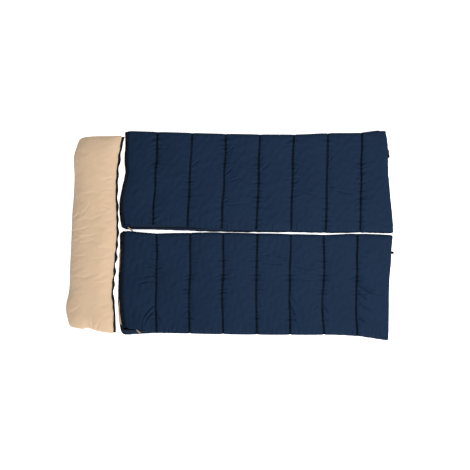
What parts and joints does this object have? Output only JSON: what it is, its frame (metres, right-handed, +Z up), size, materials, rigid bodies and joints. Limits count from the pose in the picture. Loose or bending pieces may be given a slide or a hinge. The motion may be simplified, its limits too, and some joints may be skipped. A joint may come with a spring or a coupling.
{
  "type": "double rectangular sleeping bag",
  "caption": "Rectangular quilted double sleeping bag: two zip-round single bags side by side with a full-width zip-on pillow at the head, lying flat.",
  "frame": {"origin": "middle of the whole object's footprint, on the floor it lies on", "axes": "+Z up, +X towards the foot, +Y towards the left bag"},
  "size_m": [2.3362, 1.448, 0.11],
  "materials": {
    "shell_fabric": "navy woven polyester, soft sheen",
    "hem_fabric": "dark navy hem band, flat woven",
    "lining_fabric": "tan brushed cotton",
    "hollow_fibre": "white hollow-fibre batting",
    "pillow_fabric": "tan brushed cotton, matt",
    "zip_tape": "near-black navy woven zip tape",
    "zip_coil": "black nylon coil",
    "slider_metal": "black enamelled die-cast slider",
    "tan_webbing": "tan webbing pull",
    "black_webbing": "black webbing pull"
  },
  "bodies": {
    "left_base": {"left_bottom_shell": "shell_fabric", "left_bottom_filling": "hollow_fibre", "left_bottom_lining": "lining_fabric", "left_bottom_head_hem": "hem_fabric", "left_fold_wrap": "shell_fabric", "left_zip_lower_tape": "zip_tape", "left_zip_lower_teeth": "zip_coil", "left_zip_stops": "zip_coil", "left_head_zip_tape": "zip_tape", "left_head_zip_teeth": "zip_coil"},
    "left_top": {"left_top_shell": "shell_fabric", "left_top_filling": "hollow_fibre", "left_top_lining": "lining_fabric", "left_top_head_hem": "hem_fabric", "left_zip_upper_tape": "zip_tape", "left_zip_upper_teeth": "zip_coil"},
    "left_side_slider": {"left_side_slider": "slider_metal"},
    "left_side_pull": {"left_side_pull": "tan_webbing"},
    "left_foot_slider": {"left_foot_slider": "slider_metal"},
    "left_foot_pull": {"left_foot_pull": "black_webbing"},
    "right_base": {"right_bottom_shell": "shell_fabric", "right_bottom_filling": "hollow_fibre", "right_bottom_lining": "lining_fabric", "right_bottom_head_hem": "hem_fabric", "right_fold_wrap": "shell_fabric", "right_zip_lower_tape": "zip_tape", "right_zip_lower_teeth": "zip_coil", "right_zip_stops": "zip_coil", "right_head_zip_tape": "zip_tape", "right_head_zip_teeth": "zip_coil"},
    "right_top": {"right_top_shell": "shell_fabric", "right_top_filling": "hollow_fibre", "right_top_lining": "lining_fabric", "right_top_head_hem": "hem_fabric", "right_zip_upper_tape": "zip_tape", "right_zip_upper_teeth": "zip_coil"},
    "right_side_slider": {"right_side_slider": "slider_metal"},
    "right_side_pull": {"right_side_pull": "tan_webbing"},
    "right_foot_slider": {"right_foot_slider": "slider_metal"},
    "right_foot_pull": {"right_foot_pull": "black_webbing"},
    "pillow": {"pillow_front": "pillow_fabric", "pillow_back": "pillow_fabric", "pillow_filling": "hollow_fibre", "pillow_zip_tape": "zip_tape", "pillow_zip_teeth": "zip_coil", "pillow_zip_stops": "zip_coil"},
    "pillow_slider": {"pillow_slider": "slider_metal"},
    "pillow_pull": {"pillow_pull": "tan_webbing"}
  },
  "joints": [
    {"name": "left_fold", "type": "hinge", "parent": "left_base", "child": "left_top", "pos_m": [0.18615, 0.7245, 0.042], "axis": [-1, 0, 0], "range_deg": [0, 180]},
    {"name": "left_side_zip", "type": "slide", "parent": "left_base", "child": "left_side_slider", "axis": [1, 0, 0], "range_m": [0, 1.826]},
    {"name": "left_foot_zip", "type": "slide", "parent": "left_base", "child": "left_foot_slider", "axis": [0, -1, 0], "range_m": [0, 0.539]},
    {"name": "left_side_pull_swing", "type": "hinge", "parent": "left_side_slider", "child": "left_side_pull", "pos_m": [-0.73285, 0.04, 0.0475], "axis": [-0.5878, -0.809, 0], "range_deg": [0, 100]},
    {"name": "left_foot_pull_swing", "type": "hinge", "parent": "left_foot_slider", "child": "left_foot_pull", "pos_m": [1.12215, 0.608, 0.0475], "axis": [-1, 0, 0], "range_deg": [0, 100]},
    {"name": "right_fold", "type": "hinge", "parent": "right_base", "child": "right_top", "pos_m": [0.17815, -0.0055, 0.092], "axis": [-1, 0, 0], "range_deg": [0, 180]},
    {"name": "right_side_zip", "type": "slide", "parent": "right_base", "child": "right_side_slider", "axis": [1, 0, 0], "range_m": [0, 1.751]},
    {"name": "right_foot_zip", "type": "slide", "parent": "right_base", "child": "right_foot_slider", "axis": [0, -1, 0], "range_m": [0, 0.539]},
    {"name": "right_side_pull_swing", "type": "hinge", "parent": "right_side_slider", "child": "right_side_pull", "pos_m": [-0.66585, -0.69, 0.0475], "axis": [-0.6691, -0.7431, 0], "range_deg": [0, 100]},
    {"name": "right_foot_pull_swing", "type": "hinge", "parent": "right_foot_slider", "child": "right_foot_pull", "pos_m": [1.11415, -0.122, 0.0475], "axis": [0, -1, 0], "range_deg": [0, 100]},
    {"name": "right_bag_apart", "type": "slide", "parent": "left_base", "child": "right_base", "axis": [0, -1, 0], "range_m": [0, 0.3]},
    {"name": "pillow_apart", "type": "slide", "parent": "left_base", "child": "pillow", "axis": [-1, 0, 0], "range_m": [0, 0.3]},
    {"name": "pillow_zip", "type": "slide", "parent": "pillow", "child": "pillow_slider", "axis": [0.0314, 0.9995, 0], "range_m": [0, 1.27]},
    {"name": "pillow_pull_swing", "type": "hinge", "parent": "pillow_slider", "child": "pillow_pull", "pos_m": [-0.83264, -0.64016, 0.0605], "axis": [0.9995, -0.0314, 0], "range_deg": [0, 170]}
  ]
}
